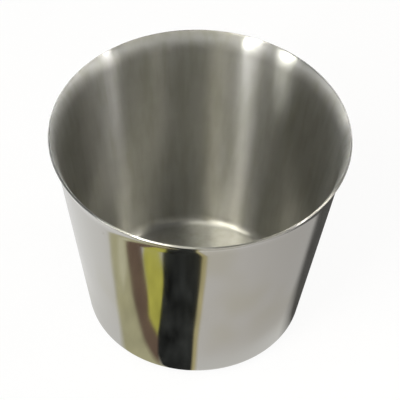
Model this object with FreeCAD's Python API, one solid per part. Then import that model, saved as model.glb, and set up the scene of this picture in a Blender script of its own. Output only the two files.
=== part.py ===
import FreeCAD, Part
import math
import os

# A deep drawn sheet metal cup, in millimetres, +Z up.
# The origin is the middle of the foot, on the surface that the cup stands on.

# Driving sizes
rim_radius = 40.0     # from the axis to the edge of the lip
cup_height = 63.5     # from the foot to the top of the lip
sheet = 0.6           # thickness of the metal
foot_radius = 25.2    # flat disc that the cup stands on
foot_bend = 3.6       # outside radius of the bend between floor and wall
lip_bend = 13.3       # outside radius of the flare at the lip
lip_lean = 34.0       # degrees that the lip's edge leans out from upright


def at(radius, height):
    """A point of the half section, which lies in the XZ plane."""
    return FreeCAD.Vector(radius, 0, height)


def towards(angle):
    """Unit direction in the section, in degrees up from +X."""
    turn = math.radians(angle)
    return at(math.cos(turn), math.sin(turn))


def arc(centre, radius, start, end):
    """Arc about a centre, between two directions given in degrees."""
    points = [centre + towards(angle) * radius for angle in (start, (start + end) / 2, end)]
    return Part.Arc(*points)


def line(start, end):
    return Part.LineSegment(start, end)


def wall_facing(foot_centre, lip_centre):
    """Direction the outside of the wall faces, for the line that touches both bends.

    The foot's bend lies inside the line and the lip's bend outside it.
    """
    way = lip_centre - foot_centre
    rise = math.degrees(math.atan2(way.z, way.x))
    return rise - math.degrees(math.acos((foot_bend + lip_bend) / way.Length))


def section():
    """Closed half section, one thickness of sheet all the way round."""
    # The lip is trimmed square across the sheet: its outer corner is the cup's
    # widest point and its inner corner the highest.
    lip_end = 180 - lip_lean
    trim = towards(lip_end)
    outer_corner = at(rim_radius, cup_height - sheet * trim.z)
    lip_centre = outer_corner - trim * lip_bend
    foot_centre = at(foot_radius, foot_bend)
    facing = wall_facing(foot_centre, lip_centre)
    out = towards(facing)

    inner_foot = foot_bend - sheet
    inner_lip = lip_bend + sheet
    curves = [
        line(at(0, 0), at(foot_radius, 0)),
        arc(foot_centre, foot_bend, -90, facing),
        line(foot_centre + out * foot_bend, lip_centre - out * lip_bend),
        arc(lip_centre, lip_bend, 180 + facing, lip_end),
        line(outer_corner, outer_corner + trim * sheet),
        arc(lip_centre, inner_lip, lip_end, 180 + facing),
        line(lip_centre - out * inner_lip, foot_centre + out * inner_foot),
        arc(foot_centre, inner_foot, facing, -90),
        line(at(foot_radius, sheet), at(0, sheet)),
        line(at(0, sheet), at(0, 0)),
    ]
    return Part.Face(Part.Wire([curve.toShape() for curve in curves]))


cup = section().revolve(at(0, 0), FreeCAD.Vector(0, 0, 1), 360)

os.makedirs("parts", exist_ok=True)
cup.exportStep("parts/cup.step")
print("cup valid", cup.isValid(), "solids", len(cup.Solids), "volume mm3", round(cup.Volume, 1))
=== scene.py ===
import math

import bmesh
import bpy
from mathutils import Matrix, Vector


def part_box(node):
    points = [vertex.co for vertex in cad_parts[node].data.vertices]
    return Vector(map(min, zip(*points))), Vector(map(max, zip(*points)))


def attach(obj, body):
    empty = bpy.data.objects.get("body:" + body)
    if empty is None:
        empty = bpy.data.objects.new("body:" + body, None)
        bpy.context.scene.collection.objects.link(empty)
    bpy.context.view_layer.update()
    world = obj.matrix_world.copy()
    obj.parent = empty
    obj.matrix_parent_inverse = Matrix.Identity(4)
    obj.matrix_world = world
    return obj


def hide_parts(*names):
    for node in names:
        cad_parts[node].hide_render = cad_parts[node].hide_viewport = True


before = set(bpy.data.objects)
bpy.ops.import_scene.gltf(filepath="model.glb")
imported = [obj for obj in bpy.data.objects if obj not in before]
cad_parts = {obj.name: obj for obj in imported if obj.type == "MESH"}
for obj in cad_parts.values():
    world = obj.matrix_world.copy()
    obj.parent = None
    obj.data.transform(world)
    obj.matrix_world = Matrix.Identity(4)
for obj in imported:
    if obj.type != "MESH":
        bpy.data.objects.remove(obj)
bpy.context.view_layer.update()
scene = bpy.context.scene
print("stage: frame loaded")


# A socket that understands + - * /, and one way to add any node
class Wire:
    def __init__(self, tree, socket):
        self.tree = tree
        self.socket = socket

    def join(self, operation, *values):
        return addNode(self.tree, "ShaderNodeMath", {"operation": operation},
                       dict(enumerate(values)))

    def maths(self, operation, *others):
        return self.join(operation, self, *others)

    def __add__(self, other):
        return self.join("ADD", self, other)

    def __radd__(self, other):
        return self.join("ADD", other, self)

    def __sub__(self, other):
        return self.join("SUBTRACT", self, other)

    def __rsub__(self, other):
        return self.join("SUBTRACT", other, self)

    def __mul__(self, other):
        return self.join("MULTIPLY", self, other)

    def __rmul__(self, other):
        return self.join("MULTIPLY", other, self)

    def __truediv__(self, other):
        return self.join("DIVIDE", self, other)

    def __rtruediv__(self, other):
        return self.join("DIVIDE", other, self)


def plug(tree, socket, value):
    if isinstance(value, Wire):
        tree.links.new(value.socket, socket)
    else:
        socket.default_value = value


def addNode(tree, kind, settings=None, sockets=None, output=0):
    node = tree.nodes.new(kind)
    for name, value in (settings or {}).items():
        setattr(node, name, value)
    for key, value in (sockets or {}).items():
        plug(tree, node.inputs[key], value)
    return Wire(tree, node.outputs[output])


def newMaterial(name):
    material = bpy.data.materials.new(name)
    material.use_nodes = True
    tree = material.node_tree
    tree.nodes.clear()
    return material, tree


def surfaceOutput(tree, shader):
    addOutput = tree.nodes.new("ShaderNodeOutputMaterial")
    tree.links.new(shader.socket, addOutput.inputs["Surface"])


# The camera

view = {
    "aim": (0.0006, 0.0, 0.0387),
    "distance": 0.939,
    "elevation": 47.03,   # degrees above the table
    "roll": 2.26,         # degrees, right side of the picture lower
    "lens": 316.5,
}


def makeCamera():
    data = bpy.data.cameras.new("camera")
    data.lens = view["lens"]
    data.sensor_width = 36.0
    data.clip_start = 0.01
    camera = bpy.data.objects.new("camera", data)
    scene.collection.objects.link(camera)
    rise = math.radians(view["elevation"])
    back = Vector((0, -math.cos(rise), math.sin(rise)))
    turn = (-back).to_track_quat("-Z", "Y") @ Matrix.Rotation(
        math.radians(view["roll"]), 3, "Z").to_quaternion()
    camera.rotation_mode = "QUATERNION"
    camera.rotation_quaternion = turn
    camera.location = Vector(view["aim"]) + back * view["distance"]
    scene.camera = camera


makeCamera()
print("stage: camera")


# The cup

cupSet = {
    "sheet": 0.0006,        # thickness of the metal
    "footRadius": 0.0252,   # flat disc of the foot
    "footBend": 0.0036,     # outside radius from floor to wall
    "lipBend": 0.0133,      # outside radius of the flare
    "lipLean": 34.0,        # degrees the lip's edge leans out
    "edgeBreak": 0.00012,   # softened corners of the trimmed lip
    "bendSteps": 14,
    "lipSteps": 16,
    "wallSteps": 30,
    "floorSteps": 12,
    "aroundSteps": 256,
}


def direction(angle):
    return Vector((math.cos(angle), 0, math.sin(angle)))


def cupShell():
    low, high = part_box("cup")
    rim, top = high.x, high.z
    sheet = cupSet["sheet"]
    footCentre = Vector((cupSet["footRadius"], 0, cupSet["footBend"]))
    lipEnd = math.pi - math.radians(cupSet["lipLean"])
    trim = direction(lipEnd)
    outerCorner = Vector((rim, 0, top - sheet * trim.z))
    lipCentre = outerCorner - trim * cupSet["lipBend"]
    way = lipCentre - footCentre
    facing = math.atan2(way.z, way.x) - math.acos(
        (cupSet["footBend"] + cupSet["lipBend"]) / way.length)
    out = direction(facing)
    innerLip = cupSet["lipBend"] + sheet
    innerFoot = cupSet["footBend"] - sheet

    shell = bmesh.new()
    tip = shell.verts.new((0, 0, 0))

    def runTo(point, steps):          # straight stretch of the section
        nonlocal tip
        step = (point - tip.co) / steps
        for _ in range(steps):
            fresh = bmesh.ops.extrude_vert_indiv(shell, verts=[tip])["verts"][0]
            fresh.co += step
            tip = fresh

    def bend(centre, start, end, steps):    # round stretch, about the Y axis
        nonlocal tip
        made = bmesh.ops.spin(shell, geom=[tip], cent=centre, axis=(0, 1, 0),
                              dvec=(0, 0, 0), angle=start - end, steps=steps)
        tip = made["geom_last"][0]

    runTo(Vector((cupSet["footRadius"], 0, 0)), cupSet["floorSteps"])
    bend(footCentre, -math.pi / 2, facing, cupSet["bendSteps"])
    runTo(lipCentre - out * cupSet["lipBend"], cupSet["wallSteps"])
    bend(lipCentre, math.pi + facing, lipEnd, cupSet["lipSteps"])
    outerEdge = tip
    runTo(outerCorner + trim * sheet, 1)
    innerEdge = tip
    bend(lipCentre, lipEnd, math.pi + facing, cupSet["lipSteps"])
    runTo(footCentre + out * innerFoot, cupSet["wallSteps"])
    bend(footCentre, facing, -math.pi / 2, cupSet["bendSteps"])
    runTo(Vector((0, 0, sheet)), cupSet["floorSteps"])
    bmesh.ops.bevel(shell, geom=[outerEdge, innerEdge], affect="VERTICES",
                    offset=cupSet["edgeBreak"], offset_type="OFFSET",
                    segments=3, profile=0.5, material=-1)
    bmesh.ops.spin(shell, geom=shell.verts[:] + shell.edges[:], cent=(0, 0, 0),
                   axis=(0, 0, 1), dvec=(0, 0, 0), angle=2 * math.pi,
                   steps=cupSet["aroundSteps"], use_merge=True)
    bmesh.ops.remove_doubles(shell, verts=shell.verts[:], dist=1e-6)
    bmesh.ops.recalc_face_normals(shell, faces=shell.faces[:])

    # Inside of the cup: faces that look towards the axis or up from the floor.
    for face in shell.faces:
        face.smooth = True
        centre = face.calc_center_median()
        inward = -(centre.x * face.normal.x + centre.y * face.normal.y)
        face.material_index = int(inward > 0.3 * centre.xy.length or face.normal.z > 0.5)
    mesh = bpy.data.meshes.new("cupShell")
    shell.to_mesh(mesh)
    shell.free()
    cup = bpy.data.objects.new("cupShell", mesh)
    scene.collection.objects.link(cup)
    return cup


# Both finishes are drawn on Object coordinates, sizes as noise scales per metre.
outsideLook = {
    "color": (0.62, 0.612, 0.592),
    "stain": (0.58, 0.565, 0.50),    # thin tea-coloured film in places
    "stainShare": 0.9,
    "roughness": 0.12,
    "hazeSpread": 0.05,              # duller and brighter clouds of the polish
    "hazeSize": 60.0,
    "filmSize": 42.0,
    "filmEdge": (0.52, 0.72),        # where the stain begins and is full
    "wave": 0.00013,                 # height of the slow ripple in the drawn wall
    "waveSize": 75.0,
    "pitShade": 0.75,
    "pitShare": 0.6,
    "pitRoughness": 0.1,
    "pitSize": 130.0,
    "pitEdge": (0.06, 0.02),
}
insideLook = {
    "color": (0.62, 0.615, 0.595),
    "brushToneAndPaintedStreaks": (0.50, 0.505, 0.44),     # the slightly yellower, darker metal between the bright streaks: partly the brushing's own tone, partly painted dark streaks of reflection
    "satin": 0.34,                   # roughness of the brushed grain
    "rubbed": 0.20,                  # roughness of the smoother metal between the lines
    "satinShare": 0.6,               # how much of the wall is brushed grain
    "lipShare": 0.5,                 # and how much of the flare, which is rubbed brighter
    "lipFrom": 0.0550,
    "lipTo": 0.0605,
    "stretch": 1.0,                  # polishing lines run round the axis
    "wave": 0.000012,
    "waveSize": 650.0,
    "streakSize": 420.0,              # long vertical streaks, of the brushing and of painted reflection
    "streakEdge": (0.35, 0.75),
    "streakShare": 0.6,
    "cloudSize": 180.0,
    "cloudShare": 0.1,
}


def metalShader(tree):
    shader = tree.nodes.new("ShaderNodeBsdfPrincipled")
    shader.inputs["Metallic"].default_value = 1.0
    return shader


def objectPlace(tree):
    return addNode(tree, "ShaderNodeTexCoord", output=3)


def noise(tree, vector, scale, detail=2.0, roughness=0.5):
    return addNode(tree, "ShaderNodeTexNoise", None,
                   {"Vector": vector, "Scale": scale, "Detail": detail, "Roughness": roughness})


def blend(tree, share, low, high):
    return addNode(tree, "ShaderNodeMix", {"data_type": "RGBA"}, {0: share, 6: low, 7: high}, 2)


def ease(tree, value, low, high, start=0.0, end=1.0):
    return addNode(tree, "ShaderNodeMapRange", {"interpolation_type": "SMOOTHSTEP"},
                   {0: value, 1: low, 2: high, 3: start, 4: end})


def stretched(tree, place, x, y, z):
    return addNode(tree, "ShaderNodeVectorMath", {"operation": "MULTIPLY"},
                   {0: place, 1: (x, y, z)})


def polishedSteel():
    look = outsideLook
    material, tree = newMaterial("polishedSteel")
    shader, place = metalShader(tree), objectPlace(tree)
    surfaceOutput(tree, Wire(tree, shader.outputs[0]))
    cloud = noise(tree, place, look["hazeSize"], 3.0)
    patches = noise(tree, stretched(tree, place, 1, 1, 0.6), look["filmSize"], 2.0)
    film = ease(tree, patches, *look["filmEdge"])
    pits = ease(tree, addNode(tree, "ShaderNodeTexVoronoi", None,
                              {"Vector": place, "Scale": look["pitSize"]}), *look["pitEdge"])
    clean = (*look["color"], 1)
    stained = blend(tree, film * look["stainShare"], clean, (*look["stain"], 1))
    dull = tuple(value * look["pitShade"] for value in look["color"])
    plug(tree, shader.inputs["Base Color"], blend(tree, pits * look["pitShare"], stained, (*dull, 1)))
    haze = (cloud - 0.5) * (2 * look["hazeSpread"])
    plug(tree, shader.inputs["Roughness"], look["roughness"] + haze + pits * look["pitRoughness"])
    ripple = noise(tree, stretched(tree, place, 1, 1, 0.55), look["waveSize"], 1.0)
    bump = addNode(tree, "ShaderNodeBump", None,
                   {"Height": ripple, "Distance": look["wave"], "Strength": 1.0})
    plug(tree, shader.inputs["Normal"], bump)
    return material


def satinSteel():
    look = insideLook
    material, tree = newMaterial("satinSteel")
    place = objectPlace(tree)
    z = addNode(tree, "ShaderNodeSeparateXYZ", None, {0: place}, 2)
    cloud = noise(tree, place, look["cloudSize"], 3.0)
    streak = noise(tree, stretched(tree, place, 1, 1, 0.04), look["streakSize"], 2.0)
    brushToneAndPaintedStreaks = (*look["brushToneAndPaintedStreaks"], 1)
    # Painted reflection: the darker vertical streaks in the colour stand partly for dark streaks of
    # reflection and partly for the brushing's own tone.
    tint = blend(tree, ease(tree, streak, *look["streakEdge"]) * look["streakShare"],
                 (*look["color"], 1), brushToneAndPaintedStreaks)
    ripple = noise(tree, place, look["waveSize"], 2.0)
    bump = addNode(tree, "ShaderNodeBump", None,
                   {"Height": ripple, "Distance": look["wave"], "Strength": 1.0})
    layers = []
    for finish in ("rubbed", "satin"):
        shader = metalShader(tree)
        shader.inputs["Anisotropic"].default_value = look["stretch"]
        shader.inputs["Anisotropic Rotation"].default_value = 0.25
        shader.inputs["Roughness"].default_value = look[finish]
        plug(tree, shader.inputs["Base Color"], tint)
        plug(tree, shader.inputs["Normal"], bump)
        layers.append(Wire(tree, shader.outputs[0]))
    share = ease(tree, z, look["lipFrom"], look["lipTo"], look["satinShare"], look["lipShare"])
    share = share + (cloud - 0.5) * look["cloudShare"]
    surfaceOutput(tree, addNode(tree, "ShaderNodeMixShader", None,
                                {0: share, 1: layers[0], 2: layers[1]}))
    return material


cup = cupShell()
cup.data.materials.append(polishedSteel())
cup.data.materials.append(satinSteel())
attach(cup, "root")
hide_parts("cup")
print("stage: cup", len(cup.data.polygons), "faces")


# The table and the light

floorSet = {
    "size": 6.0,
    "level": -0.0004,
    "paper": (0.8, 0.8, 0.8, 1),
    "shadowShare": 0.15,       # how much of the plain lit paper shows, with its shadow
    "whiteness": 1.06,
    "byTheFoot": (0.68, 0.675, 0.65),
    "footZone": (0.036, 0.030),   # the strip round the foot that mirrors this shade
    # how bright the table looks from the cup, by angle round it: degrees from the front, shade
    "shadeRound": [
        (-180, (0.70, 0.70, 0.69)), (-150, (0.70, 0.70, 0.69)), (-110, (0.84, 0.84, 0.83)),
        (-60, (0.68, 0.67, 0.64)), (30, (0.64, 0.62, 0.59)), (100, (0.38, 0.37, 0.35)),
        (150, (0.70, 0.70, 0.69)), (180, (0.70, 0.70, 0.69)),
    ],
}


def shadeByAngle(tree, place, stops):
    x = addNode(tree, "ShaderNodeSeparateXYZ", None, {0: place}, 0)
    y = addNode(tree, "ShaderNodeSeparateXYZ", None, {0: place}, 1)
    turn = x.maths("ARCTAN2", y * -1) / (2 * math.pi) + 0.5
    shade = addNode(tree, "ShaderNodeValToRGB", None, {0: turn})
    ramp = shade.socket.node.color_ramp
    ramp.interpolation = "B_SPLINE"
    ramp.elements.remove(ramp.elements[1])
    for index, (angle, color) in enumerate(stops):
        where = angle / 360 + 0.5
        stop = ramp.elements.new(where) if index else ramp.elements[0]
        stop.position = where
        stop.color = (*color, 1)
    return shade


def hideFromAllButGloss(piece):
    piece.visible_camera = False
    piece.visible_diffuse = False
    piece.visible_transmission = False
    piece.visible_volume_scatter = False
    piece.visible_shadow = False


def makeFloor():
    sheetMesh = bmesh.new()
    bmesh.ops.create_grid(sheetMesh, x_segments=1, y_segments=1, size=floorSet["size"] / 2)
    bmesh.ops.translate(sheetMesh, verts=sheetMesh.verts, vec=(0, 0, floorSet["level"]))
    mesh = bpy.data.meshes.new("floor")
    sheetMesh.to_mesh(mesh)
    sheetMesh.free()
    floor = bpy.data.objects.new("floor", mesh)
    scene.collection.objects.link(floor)

    material, tree = newMaterial("paper")
    place = addNode(tree, "ShaderNodeTexCoord", output=3)
    shade = shadeByAngle(tree, place, floorSet["shadeRound"])
    x = addNode(tree, "ShaderNodeSeparateXYZ", None, {0: place}, 0)
    y = addNode(tree, "ShaderNodeSeparateXYZ", None, {0: place}, 1)
    reach = (x * x + y * y).maths("SQRT")
    nearFoot = ease(tree, reach, *floorSet["footZone"])
    shade = blend(tree, nearFoot, shade, (*floorSet["byTheFoot"], 1))
    paper = addNode(tree, "ShaderNodeBsdfDiffuse", None, {"Color": floorSet["paper"]})
    white = addNode(tree, "ShaderNodeEmission", None,
                    {"Color": (1, 1, 1, 1), "Strength": floorSet["whiteness"]})
    # Painted shade of the table as the cup mirrors it: brightness set by angle round the cup, dim to
    # the right where the cup's shadow falls and lighter by the foot, shown only to glossy rays.
    mirrored = addNode(tree, "ShaderNodeEmission", None, {"Color": shade, "Strength": 1.0})
    path = addNode(tree, "ShaderNodeLightPath").socket.node
    seen = Wire(tree, path.outputs["Is Camera Ray"])
    gloss = Wire(tree, path.outputs["Is Glossy Ray"])
    through = Wire(tree, path.outputs["Is Transmission Ray"])
    shown = seen.maths("MAXIMUM", through) * (1 - floorSet["shadowShare"])
    lit = addNode(tree, "ShaderNodeMixShader", None, {0: shown, 1: paper, 2: white})
    surfaceOutput(tree, addNode(tree, "ShaderNodeMixShader", None, {0: gloss, 1: lit, 2: mirrored}))
    floor.data.materials.append(material)


# Coloured paper cards lying in front of the cup and to its right, seen only in its polished side.
# Each glows at its own colour, a painted light in place of being lit by the lamps.
# Corners in millimetres from the cup's axis, the viewer's side is -Y.
selfLitPapers = {
    "olivePaper": {"color": (0.47, 0.45, 0.28), "soft": 2.2, "lift": 1, "mottle": 0.35,
                   "corners": [(-4, -26), (-18, -20), (-34, -21.5), (-48, -23.5), (-62, -29),
                               (-76, -46), (-50, -52), (-30, -41), (-10, -31)]},
    # Painted highlight: a brighter copy of the olive paper where light catches it.
    "paintedOliveHighlight": {"color": (0.62, 0.60, 0.42), "soft": 2.6, "lift": 2, "mottle": 0.2,
                   "corners": [(-34, -28), (-46, -29), (-58, -38), (-52, -42), (-40, -37)]},
    "brownStrap": {"color": (0.16, 0.11, 0.08), "soft": 1.8, "lift": 3, "mottle": 0.3,
                   "corners": [(-8, -27), (-19, -29), (-28, -31.5), (-38, -35), (-46, -38.5),
                               (-62, -50), (-50, -60), (-37, -50.5), (-27, -44), (-19, -39),
                               (-12, -35)]},
    "limePaper": {"color": (0.52, 0.50, 0.10), "soft": 1.6, "lift": 4, "mottle": 0.4,
                  "corners": [(-14, -33.8), (-22, -36), (-29, -43), (-36, -48), (-38, -54),
                              (-28, -60), (-19, -54), (-15, -44)]},
    "tanEdge": {"color": (0.52, 0.46, 0.24), "soft": 1.3, "lift": 5, "mottle": 0.3,
                "corners": [(-4, -25), (1.6, -27), (3.0, -38), (5.2, -47), (8.2, -57),
                            (12, -72), (16, -97), (0, -97)]},
    "blackCard": {"color": (0.026, 0.028, 0.027), "soft": 0.9, "lift": 6, "mottle": 1.8,
                  "corners": [(-6, -26), (-12, -30), (-15.5, -35), (-17.5, -41), (-19.5, -49),
                              (-24, -58), (-30, -70), (-40, -100), (12, -100), (8, -78),
                              (5.4, -62), (2.9, -50), (1.0, -40), (0.4, -26)]},
    # Painted shadow: the cup's own shadow on the table to its right, laid as a dark glowing card.
    "paintedCupShadow": {"color": (0.085, 0.083, 0.078), "soft": 6.0, "lift": 7, "mottle": 0.2,
                  "corners": [(22, -17), (33, -12), (46, -4), (60, 5), (80, 19), (96, 38),
                              (66, 60), (30, 36), (16, 10)]},
}


def layPaper(name, paper):
    flat = bmesh.new()
    height = floorSet["level"] + 0.00003 * paper["lift"]
    corners = [flat.verts.new((x / 1000, y / 1000, height)) for x, y in paper["corners"]]
    face = flat.faces.new(corners)
    bmesh.ops.recalc_face_normals(flat, faces=[face])
    if face.normal.z < 0:
        bmesh.ops.reverse_faces(flat, faces=[face])
    cover = flat.verts.layers.float.new("cover")
    bmesh.ops.inset_region(flat, faces=[face], thickness=paper["soft"] / 1000,
                           use_boundary=True, use_even_offset=True)
    for vert in face.verts:
        vert[cover] = 1.0
    bmesh.ops.triangulate(flat, faces=flat.faces[:])
    mesh = bpy.data.meshes.new(name)
    flat.to_mesh(mesh)
    flat.free()
    piece = bpy.data.objects.new(name, mesh)
    scene.collection.objects.link(piece)

    material, tree = newMaterial(name)
    edge = addNode(tree, "ShaderNodeAttribute", {"attribute_name": "cover"}, output=2)
    place = addNode(tree, "ShaderNodeTexCoord", output=3)
    cloud = addNode(tree, "ShaderNodeTexNoise", None,
                    {"Vector": place, "Scale": 160.0, "Detail": 2.0})
    tone = 1.0 + (cloud - 0.5) * (2 * paper["mottle"])
    shade = addNode(tree, "ShaderNodeVectorMath", {"operation": "SCALE"},
                    {0: paper["color"], "Scale": tone})
    # The card glows at its own colour, a painted light instead of lamp light.
    glow = addNode(tree, "ShaderNodeEmission", None,
                   {"Color": (*paper["color"], 1), "Strength": tone})
    clear = addNode(tree, "ShaderNodeBsdfTransparent")
    surfaceOutput(tree, addNode(tree, "ShaderNodeMixShader", None, {0: edge, 1: clear, 2: glow}))
    mesh.materials.append(material)
    hideFromAllButGloss(piece)


# Soft lamps and strips round the cup, all aimed at its mouth. Azimuth is in degrees
# from +X towards +Y, so the viewer is at 270; rise is degrees above the table.
lampSet = {"distance": 1.0}
lamps = {
    "keyStrip": {"azimuth": 235, "rise": 24, "wide": 4, "tall": 40, "lean": 20, "glow": 16,
                 "color": (1.0, 1.0, 1.0)},
    "keyBox": {"azimuth": 235, "rise": 50, "wide": 20, "tall": 20, "glow": 5,
               "color": (1.0, 0.96, 0.84)},
    "leftStrip": {"azimuth": 205, "rise": 60, "wide": 8, "tall": 20, "glow": 5,
                  "color": (1.0, 0.97, 0.84)},
    "sideStrip": {"azimuth": 345, "rise": 30, "wide": 4, "tall": 30, "lean": -25, "glow": 8,
                  "color": (1.0, 0.98, 1.0)},
    "sideBox": {"azimuth": 15, "rise": 50, "wide": 10, "tall": 30, "glow": 5,
                "color": (1.0, 0.95, 0.85)},
    "warmBox": {"azimuth": 65, "rise": 60, "wide": 8, "tall": 20, "glow": 3,
                "color": (1.0, 0.9, 0.65)},
    "lowWindow": {"azimuth": 210, "rise": 12, "wide": 10, "tall": 18, "lean": 30, "glow": 9,
                  "color": (1.0, 1.0, 0.92)},
    "frontBox": {"azimuth": 290, "rise": 35, "wide": 70, "tall": 25, "glow": 1,
                 "color": (1.0, 0.97, 0.8)},
    "overhead": {"azimuth": 240, "rise": 78, "wide": 20, "tall": 20, "glow": 2,
                 "color": (1.0, 0.98, 0.85)},
}


def hangLamp(name, lamp):
    data = bpy.data.lights.new(name, "AREA")
    reach = lampSet["distance"]
    data.shape = "RECTANGLE"
    data.size = 2 * reach * math.tan(math.radians(lamp["wide"]) / 2)
    data.size_y = 2 * reach * math.tan(math.radians(lamp["tall"]) / 2)
    data.energy = lamp["glow"] * math.pi * data.size * data.size_y
    data.color = lamp["color"]
    light = bpy.data.objects.new(name, data)
    scene.collection.objects.link(light)
    turn, rise = math.radians(lamp["azimuth"]), math.radians(lamp["rise"])
    away = Vector((math.cos(turn) * math.cos(rise), math.sin(turn) * math.cos(rise),
                   math.sin(rise)))
    light.location = Vector((0, 0, 0.05)) + away * reach
    light.rotation_mode = "QUATERNION"
    light.rotation_quaternion = (-away).to_track_quat("-Z", "Y") @ Matrix.Rotation(
        math.radians(lamp.get("lean", 0)), 3, "Z").to_quaternion()
    light.visible_camera = False


roomSet = {
    "fill": (0.1, 0.1, 0.1),
    "bandTop": 0.25,           # sine of the angle where the bright band over the table ends
    "bandGlow": 8.0,
    # the window side is bright and the wall side dim: degrees from the front, share
    "bandRound": [(-180, 0.8), (-130, 0.8), (-80, 0.25), (60, 0.15), (150, 0.8),
                  (180, 0.8)],
}


def makeWorld():
    world = bpy.data.worlds.new("room")
    scene.world = world
    world.use_nodes = True
    tree = world.node_tree
    sky = tree.nodes["Background"]
    toward = addNode(tree, "ShaderNodeTexCoord", output=0)
    low = ease(tree, addNode(tree, "ShaderNodeSeparateXYZ", None, {0: toward}, 2),
               roomSet["bandTop"], 0.0)
    stops = [(angle, (share, share, share)) for angle, share in roomSet["bandRound"]]
    band = shadeByAngle(tree, toward, stops)
    glow = addNode(tree, "ShaderNodeVectorMath", {"operation": "SCALE"},
                   {0: band, "Scale": low * roomSet["bandGlow"]})
    plug(tree, sky.inputs["Color"], addNode(tree, "ShaderNodeVectorMath", {"operation": "ADD"},
                                            {0: glow, 1: roomSet["fill"]}))


makeFloor()
for name, paper in selfLitPapers.items():
    layPaper(name, paper)
for name, lamp in lamps.items():
    hangLamp(name, lamp)
makeWorld()
scene.view_settings.view_transform = "Standard"
print("stage: table and light")
